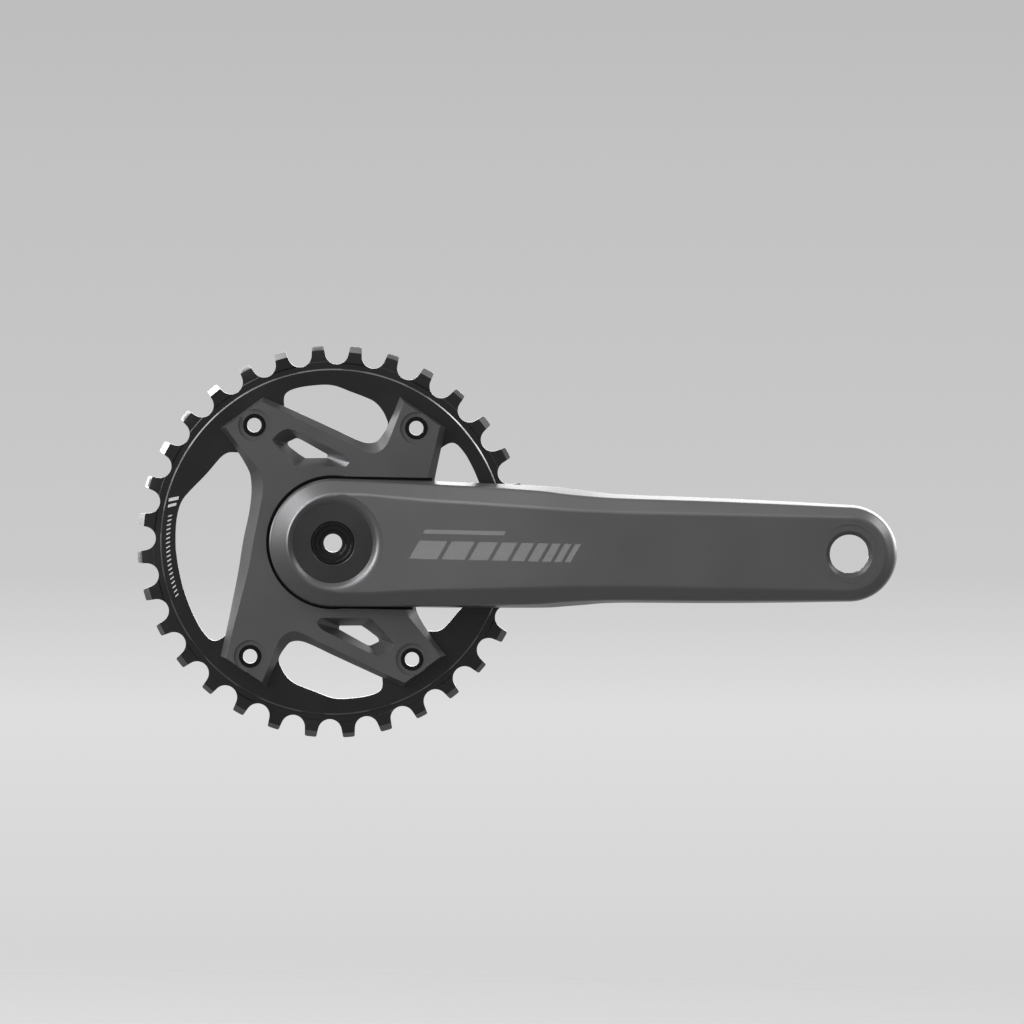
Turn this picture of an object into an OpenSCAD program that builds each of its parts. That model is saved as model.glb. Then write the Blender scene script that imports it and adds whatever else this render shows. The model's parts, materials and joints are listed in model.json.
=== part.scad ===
/* [Crank arm] */
// Distance from the spindle axis to the pedal axis
crank_length = 175; // [165:1:180]
// Radius of the round hub boss
hub_r = 21.7; // [21:0.1:22]
// Radius of the threaded wall in the pedal eye
pedal_hole_r = 6.6; // [6:0.1:7]
// Outboard distance of the hub face from the shell's mid-plane
hub_face_u = 71.5; // [70:0.5:73]
// Outboard distance of the flat behind the hub
hub_back_u = 56.5; // [56:0.5:57]

/* [Spider] */
// Radius of the circle that the four ring bolts stand on
bolt_circle_r = 48; // [47:0.5:49]
// Angle of each ring bolt from the arm's line
bolt_angle = 55; // [53:1:57]
// Outboard distance of the spider's back face
spider_back_u = 54; // [53.5:0.5:54]
// Outboard distance of the spider's front face
spider_face_u = 58.8; // [58:0.1:59]

/* [Chainring] */
// Number of teeth
teeth = 32; // [32:2:34]
// Chain pitch
chain_pitch = 12.7; // [12.7]
// Roller radius, with running room
roller_r = 4.05; // [3.98:0.01:4.1]
// Plate thickness
ring_t = 4; // [3.6:0.1:4]
// Thickness of a wide tooth
wide_tooth_t = 3.5; // [3.3:0.1:3.6]
// Thickness of a narrow tooth
narrow_tooth_t = 2.1; // [1.9:0.1:2.3]
// Outboard distance of the ring's mid-plane, the chainline
chainline = 52; // [52]

/* [Spindle and bearings] */
// Spindle outer radius
spindle_r = 12; // [12]
// Spindle bore radius
spindle_bore_r = 9.2; // [8.8:0.1:9.4]
// Bearing outer radius
bearing_r = 18.5; // [18.5]
// Bearing width
bearing_w = 7; // [7]
// Ball radius
ball_r = 1.75; // [1.6:0.05:1.8]
// Balls in each bearing
ball_count = 15; // [12:1:17]
// Radius of the cup's shell thread
cup_thread_r = 17.4; // [17.4]
// Length of each cup's thread
cup_thread_l = 16; // [12:1:18]

/* [Hidden] */
$fn = 64;

// Axial stations, as the outboard distance u from the shell's mid-plane
shell_half = 34;
spacer_t = 2.5;
drive_seat_u = shell_half + 2 * spacer_t;
non_drive_seat_u = -shell_half - spacer_t;
flange_t = 9;
bearing_inset = 1.2;
drive_bearing_u = drive_seat_u + bearing_inset + bearing_w / 2;
non_drive_bearing_u = non_drive_seat_u - bearing_inset - bearing_w / 2;
boss_end_u = 49;
lockring_u = 51.5;
spindle_drive_u = 64;
hub_floor_u = hub_face_u - 1.5;
spindle_left_u = -69;
sleeve_left_u = -35;
sleeve_right_u = 37.5;
eps = 0.01;

// Hub of the arm
boss_r = 16.5;
lock_thread_r = 16;
key_r = 17.4;
key_w = 3;
key_count = 8;
dish_r = 13.6;
dish_rise = 6;
hub_face_x = 1.6;
hub_face_r = 16.9;
hub_steps = 12;

// Pedal end of the arm
arm_end = crank_length;
wide_end_r = 16.5;
bevel_end_r = 15.8;
face_end_r = 12.6;
end_steps = 10;
back_round = 1.4;
spot_r = 10;
spot_depth = 0.4;
pedal_chamfer = 1.3;

// Spider
spider_edge_u = 55.5;
slope_over = 1.3;
spider_hub_r = 26;
hub_gap_r = 22.8;
arm_gap_half = 22.5;
counterbore_r = 5.5;
counterbore_depth = 1;
lockring_r = 21;

// Chainring
ring_inner_r = 40;
step_r = 58.9;
band_r = 61.2;
band_half_t = 1.3;
flank_angle = 12;
tooth_reach = 4;
flank_spread = (tooth_reach + roller_r * sin(flank_angle)) * tan(flank_angle);

// Ring bolts
bolt_thread_r = 3.85;
bolt_bore_r = 2.45;
bolt_end_u = 58.1;
ring_hole_r = 4.05;
head_r = 5;
head_t = 1.6;
head_sink = 1.3;
hex_r = 2.9;
hex_depth = 3;

// Hub plug
plug_hole_r = 7.3;
plug_r = 7.1;
plug_bore_r = 3.15;
plug_face_u = hub_floor_u - 0.5;
plug_ring_u = 66.5;
plug_ring_section = 0.5;

// Bearings
ball_pitch_r = 15.5;
groove_r = ball_r + 0.04;
outer_race_r = 16.7;
inner_race_r = 14.3;
inner_bore_r = 12.5;
cage_in_r = 14.95;
cage_out_r = 16.05;
cage_w = 4.2;
seal_u = 3;
seal_t = 0.7;
seal_in_r = 14.6;
cover_u = bearing_w / 2 + 0.25;
cover_t = 0.75;
cover_r = 17.8;
cover_face_u = drive_bearing_u + cover_u + cover_t;

// Cups, sleeve and spacers
flange_r = 22;
neck_r = 17;
neck_gap = 0.2;
notch_count = 16;
notch_r = 1.8;
sleeve_r = 14.9;
sleeve_wall = 1.5;
spacer_r = 21.5;
spacer_in_r = 17.7;

// Thread for the preload cap, in the spindle's left end
cap_thread_r = 9.6;
cap_thread_l = 10;

// Left end of the spindle: a plain land that centres the other arm, then a splined tip
land_r = 11.6;
land_l = 7;
tip_spline_r = 11.3;
spline_count = 16;
spline_w = 0.9;
spline_depth = 0.5;
spline_l = 9;

// Turns the side view, drawn with local z as the outboard distance, into the row's frame
module side_view() { rotate([90, 0, 0]) children(); }

// A tube from u0 to u1
module tube(r_out, r_in, u0, u1) {
    translate([0, 0, u0])
        difference() {
            cylinder(r = r_out, h = u1 - u0);
            translate([0, 0, -1]) cylinder(r = r_in, h = u1 - u0 + 2);
        }
}

// A plain hole from u0 to u1
module hole(r, u0, u1) {
    translate([0, 0, u0]) cylinder(r = r, h = u1 - u0);
}

// One copy and a second one turned half a turn
module twice() {
    children();
    rotate(180) children();
}

// A copy at each ring bolt
module at_bolts() {
    for (a = [bolt_angle, 180 - bolt_angle, 180 + bolt_angle, -bolt_angle])
        translate([bolt_circle_r * cos(a), bolt_circle_r * sin(a), 0]) children();
}

// ---- Crank arm: half widths and heights as they vary along the arm ----

// Half width of the widest line, behind the side walls
wide_half = [[0, 21.7], [34, 21.6], [50, 21.3], [68, 21], [74, 20.8], [80, 20.2], [86, 19.6],
    [92, 18.9], [100, 18.5], [125, 18.1], [151, 17.4], [arm_end, 16.5]];
// Half width of the bevel's outer edge
bevel_half = [[0, 21.7], [35, 20.6], [50, 20.1], [62, 19.6], [71, 19.1], [77, 18.4], [83, 17.9],
    [92, 17.4], [100, 17.2], [125, 16.9], [151, 16.4], [arm_end, 15.8]];
// Half width of the face
face_half = [[0, 16.9], [10, 16.9], [20, 16.2], [35, 15.2], [50, 14.6], [62, 14], [71, 13.6],
    [80, 13.1], [92, 12.8], [100, 12.6], [arm_end, 12.6]];
// Outboard distance of the face: flat over the hub, rising along the arm, easing at the bend
face_height = [[0, hub_face_u], [68, hub_face_u + 8.3], [74, hub_face_u + 8.95],
    [80, hub_face_u + 9.5], [88, hub_face_u + 10.05], [arm_end, hub_face_u + 14.8]];
// Depth of the bevel below the face
bevel_depth = [[0, 4.6], [35, 4], [68, 3.6], [100, 3], [arm_end, 2.8]];
// Outboard distance of the back
back_height = [[0, hub_back_u], [24, hub_back_u], [34, hub_back_u + 2.5], [60, hub_back_u + 6.5],
    [83, hub_back_u + 10.4], [100, hub_back_u + 12.3], [130, hub_back_u + 14.3],
    [arm_end, hub_back_u + 17]];
arm_stations = [8, 16, 24, 34, 42, 50, 56, 62, 68, 74, 80, 86, 92, 100, 112, 125, 138, 151, 163];

// Upper half of one outline, from the hub's far side round to the pedal end, drawn in by inset:
// an arc about [hub_x, 0], the half widths along the arm, and a round end
function arm_half(hub_x, r, widths, end_r, inset = 0) = concat(
    [for (i = [0:hub_steps]) let (a = 180 - 90 * i / hub_steps)
        [hub_x + (r - inset) * cos(a), (r - inset) * sin(a)]],
    [for (x = arm_stations) [x, lookup(x, widths) - inset]],
    [for (i = [0:end_steps]) let (a = 90 - 90 * i / end_steps)
        [arm_end + (end_r - inset) * cos(a), (end_r - inset) * sin(a)]]);

// A half outline and its mirror image, as one closed loop
function both_sides(half) = concat(half,
    [for (i = [len(half) - 2:-1:1]) [half[i][0], -half[i][1]]]);

function back_at(x) = lookup(x, back_height);
function face_at(x) = lookup(x, face_height);
function foot_at(x) = face_at(x) - lookup(x, bevel_depth);

wide_line = arm_half(0, hub_r, wide_half, wide_end_r);
back_line = arm_half(0, hub_r, wide_half, wide_end_r, back_round);
bevel_line = arm_half(0, hub_r - 0.1, bevel_half, bevel_end_r);
face_line = arm_half(hub_face_x, hub_face_r, face_half, face_end_r);
arm_rows = [
    [for (p = both_sides(back_line)) [p[0], p[1], back_at(p[0])]],
    [for (p = both_sides(wide_line)) [p[0], p[1], back_at(p[0]) + back_round]],
    [for (p = both_sides(bevel_line)) [p[0], p[1], foot_at(p[0])]],
    [for (p = both_sides(face_line)) [p[0], p[1], face_at(p[0])]]];

// Triangles of the strip between two loops of n points, which start at indices a and b
function strip(n, a, b) = [for (i = [0:n - 1]) let (j = (i + 1) % n)
    each [[a + i, b + j, b + i], [a + i, a + j, b + j]]];

// Triangles across a loop, between each point and its mirror image, for the face or the back
function cap(n, s, face) = [for (i = [0:n / 2 - 1])
    let (a = s + i, b = s + i + 1, c = s + (n - i - 1) % n, d = s + (n - i) % n)
    each (face
        ? concat(i == 0 ? [] : [[a, c, d]], i == n / 2 - 1 ? [] : [[a, b, c]])
        : concat(i == 0 ? [] : [[a, d, c]], i == n / 2 - 1 ? [] : [[a, c, b]]))];

module arm_body() {
    n = len(arm_rows[0]);
    polyhedron(
        points = [for (row = arm_rows) each row],
        faces = concat(cap(n, 0, false), cap(n, 3 * n, true),
            [for (row = [0:2]) each strip(n, row * n, (row + 1) * n)]));
}

module spline_keys() {
    for (i = [0:key_count - 1])
        rotate(i * 360 / key_count)
            translate([0, -key_w / 2, lockring_u]) cube([key_r, key_w, hub_back_u - lockring_u]);
}

module crank_arm() {
    color("#4b4b4c") side_view() difference() {
        union() {
            arm_body();
            hole(boss_r, lockring_u, hub_back_u + 1);
            hole(lock_thread_r, boss_end_u, lockring_u + 1);
            spline_keys();
        }
        hole(spindle_r, boss_end_u - 1, spindle_drive_u);
        hole(plug_hole_r, spindle_drive_u - 1, hub_floor_u + 1);
        translate([0, 0, hub_floor_u])
            cylinder(r1 = dish_r, r2 = dish_r + dish_rise, h = dish_rise);
        translate([arm_end, 0, 0]) {
            hole(pedal_hole_r, 60, 100);
            hole(spot_r, face_at(arm_end) - spot_depth, 100);
            translate([0, 0, face_at(arm_end) - spot_depth - pedal_chamfer])
                cylinder(r1 = pedal_hole_r, r2 = pedal_hole_r + pedal_chamfer + eps,
                    h = pedal_chamfer + eps);
            hole(spot_r, 60, back_at(arm_end) + spot_depth);
        }
    }
}

// ---- Spider ----

// Half of the outline, anticlockwise from the right-hand upper prong:
// [base x, base z, face x, face z]
spider_half = [
    [37.6, 39.6, 35.6, 40.2], [21.8, 49.8, 23.3, 48.0], [20.0, 45.0, 21.7, 44.0],
    [17.8, 40.0, 20.2, 40.0], [17.3, 38.7, 19.0, 36.7], [15.9, 36.5, 17.7, 33.7],
    [14.3, 34.6, 15.8, 31.6], [12.7, 34.0, 13.3, 30.5], [11.0, 33.9, 11.3, 30.7],
    [9.0, 34.3, 9.0, 31.5], [5.0, 35.9, 5.0, 33.6], [0.0, 38.2, 0.0, 35.8],
    [-17.4, 45.8, -18.2, 44.3], [-24.8, 48.8, -25.2, 47.3], [-39.2, 37.9, -37.2, 38.3],
    [-36.5, 34.7, -35.0, 35.3], [-32.8, 29.8, -31.7, 31.3], [-29.8, 25.0, -27.7, 26.7],
    [-28.6, 22.2, -25.3, 23.4], [-28.1, 17.0, -24.2, 18.0], [-28.7, 10.0, -25.3, 10.0],
    [-30.6, 0.0, -27.1, 0.0], [-32.0, -10.0, -28.7, -10.0], [-33.8, -20.3, -31.1, -20.3],
    [-35.8, -31.0, -33.4, -30.0]];
spider_loop = concat(spider_half, -spider_half);

// What is cut away all round so that the sides slope in from the base line to the face line
module spider_slopes() {
    n = len(spider_loop);
    top_u = spider_edge_u + slope_over * (spider_face_u - spider_edge_u);
    base_line = [for (p = spider_loop) [p[0], p[1]]];
    slope_in = [for (p = spider_loop) [p[2] - p[0], p[3] - p[1]]];
    outside = base_line - 0.3 * slope_in;
    inside = base_line + slope_over * slope_in;
    polyhedron(
        points = concat(
            [for (p = outside) [p[0], p[1], top_u]],
            [for (p = outside) [p[0], p[1], spider_edge_u]],
            [for (p = base_line) [p[0], p[1], spider_edge_u]],
            [for (p = inside) [p[0], p[1], top_u]]),
        faces = [for (row = [0:3]) each strip(n, row * n, (row + 1) % 4 * n)]);
}

module spider_body() {
    difference() {
        translate([0, 0, spider_back_u]) linear_extrude(spider_face_u - spider_back_u)
            polygon([for (p = spider_loop) [p[0], p[1]]]);
        spider_slopes();
    }
}

// Pocket in a bridge: its rim on the face, and the smaller hole at the bottom
pocket_rim = [[-22.2, 34.4], [-20, 37], [-18, 38.3], [-16.3, 38.7], [-14, 38.1], [4, 29.8],
    [5.5, 28.2], [6, 27], [5.3, 26], [4.3, 25.4], [-13, 25.2], [-14.5, 25.9]];
pocket_hole = [[-15.6, 33.4], [-13, 34.7], [-12.2, 34.6], [-3.3, 29.8], [-3.4, 28.8],
    [-9.7, 28.6], [-11.7, 29.8], [-15.4, 32.5]];

module bridge_pocket() {
    hull() {
        translate([0, 0, spider_face_u]) linear_extrude(1) polygon(pocket_rim);
        translate([0, 0, spider_back_u - 0.5]) linear_extrude(0.1) polygon(pocket_hole);
    }
}

module spider() {
    color("#58585a") side_view() difference() {
        union() {
            spider_body();
            hole(spider_hub_r, lockring_u, spider_back_u + 0.5);
        }
        hole(boss_r, lockring_u - 1, hub_back_u + 1);
        hole(hub_gap_r, hub_back_u, spider_face_u + 1);
        translate([0, -arm_gap_half, hub_back_u])
            cube([60, 2 * arm_gap_half, spider_face_u - hub_back_u + 1]);
        spline_keys();
        twice() bridge_pocket();
        at_bolts() {
            hole(bolt_thread_r, spider_back_u - 1, spider_face_u + 1);
            hole(counterbore_r, spider_face_u - counterbore_depth, spider_face_u + 1);
        }
    }
}

module spider_lockring() {
    color("#2b2b2d") side_view() difference() {
        tube(lockring_r, lock_thread_r, boss_end_u + 0.4, lockring_u);
        for (i = [0:7])
            rotate(i * 45)
                translate([lockring_r - 1.2, -1.5, boss_end_u]) cube([3, 3, 5]);
    }
}

// ---- Chainring ----

pitch_r = chain_pitch / 2 / sin(180 / teeth);
tip_r = pitch_r + 2;
tooth_step = 360 / teeth;

// One gap between teeth: the roller seat and its opening flanks
module tooth_gap() {
    translate([pitch_r - 0.35, 0]) {
        circle(r = roller_r);
        polygon([
            [-roller_r * sin(flank_angle), roller_r * cos(flank_angle)],
            [tooth_reach, roller_r * cos(flank_angle) + flank_spread],
            [tooth_reach, -roller_r * cos(flank_angle) - flank_spread],
            [-roller_r * sin(flank_angle), -roller_r * cos(flank_angle)]]);
    }
}

module tooth_outline() {
    difference() {
        circle(r = tip_r, $fn = 256);
        for (i = [0:teeth - 1]) rotate(i * tooth_step) tooth_gap();
    }
}

// The two kinds of window in the ring, with their hidden inner ends
ring_window_top = [[17.8, 40], [17, 43], [15.3, 45.8], [13, 48], [10, 49.4], [5, 51.2],
    [0, 53], [-3.5, 53.4], [-8.3, 53], [-12, 52.4], [-15, 51.5], [-16.8, 50.4], [-17.6, 49],
    [-17.5, 46], [-15, 34], [15, 34]];
ring_window_side = [[-32.8, 29.8], [-35.7, 29.8], [-37.3, 29.2], [-39, 27.8], [-43.3, 22.6],
    [-50.4, 14.9], [-52.3, 11.7], [-53.4, 7], [-53.7, 2], [-53.4, -4.7], [-51.3, -14.9],
    [-48.3, -23.3], [-45, -29.7], [-43.3, -32], [-41.7, -33.7], [-40.3, -34.4],
    [-39, -34.3], [-37.7, -33.7], [-36.3, -32.7], [-28, -26], [-26, 28]];

module ring_profile(narrow) {
    web = ring_t / 2;
    half_t = (narrow ? narrow_tooth_t : wide_tooth_t) / 2;
    polygon(narrow
        ? [[30, -web], [step_r - 0.8, -web], [step_r, -band_half_t], [band_r, -band_half_t],
           [band_r + 0.2, -half_t], [tip_r - 1, -half_t], [tip_r, -half_t + 0.5],
           [tip_r, half_t - 0.5], [tip_r - 1, half_t], [band_r + 0.2, half_t],
           [band_r, band_half_t], [step_r, band_half_t], [step_r - 0.8, web], [30, web]]
        : [[band_r - 0.6, -band_half_t + 0.2], [band_r, -half_t], [tip_r - 2, -half_t],
           [tip_r, -half_t + 0.9], [tip_r, half_t - 0.9], [tip_r - 2, half_t],
           [band_r, half_t], [band_r - 0.6, band_half_t - 0.2]]);
}

module chainring() {
    color("#363638") side_view() translate([0, 0, chainline]) difference() {
        intersection() {
            translate([0, 0, -ring_t]) linear_extrude(2 * ring_t) tooth_outline();
            union() {
                rotate_extrude($fn = 256) ring_profile(true);
                for (i = [0:teeth / 2 - 1])
                    rotate((2 * i + 1) * tooth_step)
                        rotate_extrude(angle = tooth_step, $fn = 256) ring_profile(false);
            }
        }
        translate([0, 0, -ring_t]) linear_extrude(2 * ring_t) {
            circle(r = ring_inner_r, $fn = 128);
            twice() {
                polygon(ring_window_top);
                polygon(ring_window_side);
            }
        }
        at_bolts() {
            hole(ring_hole_r, -ring_t, ring_t);
            hole(head_r + 0.3, -ring_t, -ring_t / 2 + head_sink);
        }
    }
}

module chainring_bolts() {
    head_u = chainline - ring_t / 2 + head_sink;
    color("#161616") side_view() at_bolts() difference() {
        union() {
            hole(bolt_thread_r, head_u - 0.5, bolt_end_u);
            hole(head_r, head_u - head_t, head_u);
        }
        hole(bolt_bore_r, head_u - 5, bolt_end_u + 1);
        translate([0, 0, head_u - head_t - 1]) cylinder(r = hex_r, h = hex_depth + 1, $fn = 6);
    }
}

// ---- Hub plug ----

module hub_plug() {
    color("#181818") side_view() difference() {
        rotate_extrude() polygon([
            [plug_bore_r, spindle_drive_u + 0.5], [plug_r, spindle_drive_u + 0.5],
            [plug_r, plug_face_u], [6.3, plug_face_u], [6.1, plug_face_u - 0.9],
            [4.6, plug_face_u - 0.9], [4.35, plug_face_u - 1.6], [plug_bore_r, plug_face_u - 1.6]]);
        plug_ring_shape();
    }
}

module plug_ring_shape() {
    translate([0, 0, plug_ring_u]) rotate_extrude()
        translate([plug_hole_r - plug_ring_section, 0]) circle(r = plug_ring_section, $fn = 24);
}

module hub_plug_o_ring() { color("#101010") side_view() plug_ring_shape(); }

// ---- Spindle ----

spline_end_u = spindle_left_u + spline_l;

module spindle() {
    color("#b9bbbd") side_view() difference() {
        union() {
            tube(spindle_r, spindle_bore_r, spline_end_u + land_l, spindle_drive_u);
            tube(land_r, spindle_bore_r, spline_end_u, spline_end_u + land_l);
            tube(tip_spline_r, spindle_bore_r, spindle_left_u, spline_end_u);
        }
        hole(cap_thread_r, spindle_left_u - 1, spindle_left_u + cap_thread_l);
        for (i = [0:spline_count - 1])
            rotate(i * 360 / spline_count)
                translate([tip_spline_r - spline_depth, -spline_w / 2, spindle_left_u - 1])
                    cube([2, spline_w, spline_l + 1]);
        translate([0, 0, spindle_left_u - eps])
            cylinder(r1 = cap_thread_r + 0.6, r2 = cap_thread_r, h = 0.6);
    }
}

module arm_seal_ring() {
    color("#161616") side_view() tube(15, spindle_r, cover_face_u, boss_end_u);
}

// ---- Bearings, drawn about their own mid-planes ----

module ball_track(r) {
    rotate_extrude() translate([ball_pitch_r, 0]) circle(r = r, $fn = 32);
}

module outer_race() {
    difference() {
        tube(bearing_r, outer_race_r, -bearing_w / 2, bearing_w / 2);
        ball_track(groove_r);
    }
}

module inner_race() {
    difference() {
        tube(inner_race_r, inner_bore_r, -bearing_w / 2, bearing_w / 2);
        ball_track(groove_r);
    }
}

module balls(r) {
    for (i = [0:ball_count - 1])
        rotate(i * 360 / ball_count) translate([ball_pitch_r, 0, 0]) sphere(r = r, $fn = 32);
}

module ball_cage() {
    difference() {
        tube(cage_out_r, cage_in_r, -cage_w / 2, cage_w / 2);
        for (i = [0:ball_count - 1])
            rotate(i * 360 / ball_count) rotate([0, 90, 0])
                cylinder(r = ball_r + 0.02, h = cage_out_r + 1);
    }
}

module bearing_seals() {
    for (s = [-1, 1]) translate([0, 0, s * seal_u])
        tube(outer_race_r, seal_in_r, -seal_t / 2, seal_t / 2);
}

// Bush inside the inner race, with a flange that closes the cup's mouth
module dust_cover() {
    tube(inner_bore_r, spindle_r, -bearing_w / 2 + 0.2, bearing_w / 2 + eps);
    tube(inner_race_r - 0.4, spindle_r, bearing_w / 2, cover_u);
    tube(cover_r, spindle_r, cover_u, cover_u + cover_t);
}

module at_drive() { side_view() translate([0, 0, drive_bearing_u]) children(); }
module at_non_drive() {
    side_view() translate([0, 0, non_drive_bearing_u]) mirror([0, 0, 1]) children();
}

module drive_outer_race() { color("#c4c6c8") at_drive() outer_race(); }
module non_drive_outer_race() { color("#c4c6c8") at_non_drive() outer_race(); }
module drive_inner_race() { color("#c4c6c8") at_drive() inner_race(); }
module non_drive_inner_race() { color("#c4c6c8") at_non_drive() inner_race(); }
module drive_ball_cage() { color("#8a6a3a") at_drive() ball_cage(); }
module non_drive_ball_cage() { color("#8a6a3a") at_non_drive() ball_cage(); }
module drive_balls() { color("#dddddd") at_drive() balls(ball_r); }
module non_drive_balls() { color("#dddddd") at_non_drive() balls(ball_r); }
module drive_bearing_seals() { color("#202020") at_drive() bearing_seals(); }
module non_drive_bearing_seals() { color("#202020") at_non_drive() bearing_seals(); }
module drive_dust_cover() { color("#242424") at_drive() dust_cover(); }
module non_drive_dust_cover() { color("#242424") at_non_drive() dust_cover(); }

// ---- Bottom bracket ----

// A cup with its flange's seat at u = 0 and the bearing beyond it; the neck is as long as
// the shell spacers round it
module cup(neck_l) {
    difference() {
        union() {
            hole(cup_thread_r, -cup_thread_l, -neck_l - neck_gap);
            hole(neck_r, -cup_thread_l, 0.5);
            hole(flange_r, 0, flange_t);
        }
        hole(sleeve_r, -cup_thread_l - 1, bearing_inset + 1);
        hole(bearing_r, bearing_inset, flange_t + 1);
        for (i = [0:notch_count - 1])
            rotate(i * 360 / notch_count)
                translate([flange_r + 0.5, 0, 1.5]) cylinder(r = notch_r, h = flange_t);
    }
}

module drive_cup() { color("#2e2e30") side_view() translate([0, 0, drive_seat_u]) cup(2 * spacer_t); }
module non_drive_cup() {
    color("#2e2e30") side_view() translate([0, 0, non_drive_seat_u]) mirror([0, 0, 1])
        cup(spacer_t);
}

module drive_shell_spacers() {
    color("#1c1c1c") side_view()
        for (i = [0, 1]) let (u = shell_half + i * spacer_t)
            tube(spacer_r, spacer_in_r, u, u + spacer_t);
}
module non_drive_shell_spacer() {
    color("#1c1c1c") side_view() tube(spacer_r, spacer_in_r, non_drive_seat_u, -shell_half);
}

module sleeve_ring_shape() {
    for (u = [sleeve_left_u + 5, sleeve_right_u - 5])
        translate([0, 0, u]) intersection() {
            rotate_extrude() translate([sleeve_r - 0.3, 0]) circle(r = 0.6, $fn = 24);
            hole(sleeve_r, -2, 2);
        }
}

module cup_sleeve() {
    color("#4a4a4a") side_view() difference() {
        tube(sleeve_r, sleeve_r - sleeve_wall, sleeve_left_u, sleeve_right_u);
        sleeve_ring_shape();
    }
}

module sleeve_o_rings() { color("#101010") side_view() sleeve_ring_shape(); }

crank_arm();
spider();
spider_lockring();
chainring();
chainring_bolts();
hub_plug();
hub_plug_o_ring();
spindle();
arm_seal_ring();
drive_dust_cover();
non_drive_dust_cover();
drive_inner_race();
non_drive_inner_race();
drive_ball_cage();
drive_balls();
non_drive_ball_cage();
non_drive_balls();
drive_outer_race();
non_drive_outer_race();
drive_bearing_seals();
non_drive_bearing_seals();
drive_cup();
non_drive_cup();
drive_shell_spacers();
non_drive_shell_spacer();
cup_sleeve();
sleeve_o_rings();
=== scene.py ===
import json
import math

import bmesh
import bpy
from mathutils import Matrix, Vector


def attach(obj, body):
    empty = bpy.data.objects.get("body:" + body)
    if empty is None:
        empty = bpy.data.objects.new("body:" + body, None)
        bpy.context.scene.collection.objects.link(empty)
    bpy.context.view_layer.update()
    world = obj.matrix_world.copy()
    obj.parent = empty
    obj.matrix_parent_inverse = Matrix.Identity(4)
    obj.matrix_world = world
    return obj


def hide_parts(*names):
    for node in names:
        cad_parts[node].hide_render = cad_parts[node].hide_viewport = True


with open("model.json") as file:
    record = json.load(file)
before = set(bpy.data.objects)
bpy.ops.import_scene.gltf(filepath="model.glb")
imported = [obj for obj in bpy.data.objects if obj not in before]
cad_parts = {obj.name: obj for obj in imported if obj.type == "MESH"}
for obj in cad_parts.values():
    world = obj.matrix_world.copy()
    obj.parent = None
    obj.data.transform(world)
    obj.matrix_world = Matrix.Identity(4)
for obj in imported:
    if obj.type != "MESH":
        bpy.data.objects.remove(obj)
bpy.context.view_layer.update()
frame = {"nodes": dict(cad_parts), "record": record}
NODES = frame["nodes"]

# All shapes below are drawn in millimetres in the side view: x along the arm, z up,
# and u outboard from the shell's mid-plane, which is -Y in the row's frame.
MM = 0.001


def place(x, z, u):
    """A side-view point in the row's frame, in metres."""
    return Vector((x, -u, z)) * MM


# ---------------------------------------------------------------- mesh helpers

def link(name, mesh):
    obj = bpy.data.objects.new(name, mesh)
    bpy.context.scene.collection.objects.link(obj)
    return obj


def mesh_object(name, points, faces):
    """A mesh of side-view points; its faces' normals are made to point outward."""
    mesh = bpy.data.meshes.new(name)
    mesh.from_pydata([place(*p) for p in points], [], faces)
    bm = bmesh.new()
    bm.from_mesh(mesh)
    bmesh.ops.recalc_face_normals(bm, faces=bm.faces)
    bm.to_mesh(mesh)
    bm.free()
    return link(name, mesh)


def ring_faces(n, rows, closed=False):
    """Quads between successive rows of n points each."""
    faces = []
    for r in range(rows if closed else rows - 1):
        a, b = r * n, (r + 1) % rows * n
        for i in range(n):
            j = (i + 1) % n
            faces.append((a + i, a + j, b + j, b + i))
    return faces


def lathe_points(profile, steps, centre):
    """Rings of points for rows (r, u), or (r, u, depth, pitch) where the wall is threaded."""
    points = []
    for row in profile:
        r, u = row[:2]
        depth, pitch = row[2:] or (0, 1)
        for i in range(steps):
            turn = i / steps
            ridge = depth * abs(2 * ((u / pitch - turn) % 1) - 1)
            a = 2 * math.pi * turn
            points.append((centre[0] + (r + ridge) * math.cos(a),
                           centre[1] + (r + ridge) * math.sin(a), u))
    return points


def revolved(name, profile, steps=96, centre=(0, 0)):
    """A solid of revolution about the u axis; profile is a closed loop of rows."""
    points = lathe_points(profile, steps, centre)
    return mesh_object(name, points, ring_faces(steps, len(profile), closed=True))


def drum(name, profile, steps=96, centre=(0, 0)):
    """A solid of revolution closed on its axis; profile is an open line of rows."""
    points = lathe_points(profile, steps, centre)
    last = (len(profile) - 1) * steps
    faces = ring_faces(steps, len(profile))
    faces.append(tuple(range(steps)))
    faces.append(tuple(range(last, last + steps)))
    return mesh_object(name, points, faces)


def thread_rows(r, depth, pitch, u0, u1, steps=8):
    """Rows of a threaded wall from u0 to u1, fading in and out over a turn."""
    n = max(2, round(abs(u1 - u0) / pitch * steps))
    rows = []
    for i in range(n + 1):
        u = u0 + (u1 - u0) * i / n
        fade = min(1, abs(u - u0) / pitch, abs(u - u1) / pitch)
        rows.append((r, u, depth * fade, pitch))
    return rows


def prism(name, outline, u0, u1):
    n = len(outline)
    points = [(x, z, u) for u in (u0, u1) for x, z in outline]
    faces = ring_faces(n, 2) + [tuple(range(n)), tuple(range(n, 2 * n))]
    return mesh_object(name, points, faces)


def settle(obj):
    """Replaces an object's mesh by what its modifiers make of it."""
    graph = bpy.context.evaluated_depsgraph_get()
    graph.update()
    mesh = bpy.data.meshes.new_from_object(obj.evaluated_get(graph))
    obj.modifiers.clear()
    obj.data = mesh


def boolean(obj, cutter, operation="DIFFERENCE"):
    mod = obj.modifiers.new(operation, "BOOLEAN")
    mod.operation = operation
    mod.object = cutter
    mod.solver = "EXACT"
    settle(obj)
    bpy.data.objects.remove(cutter)


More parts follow.
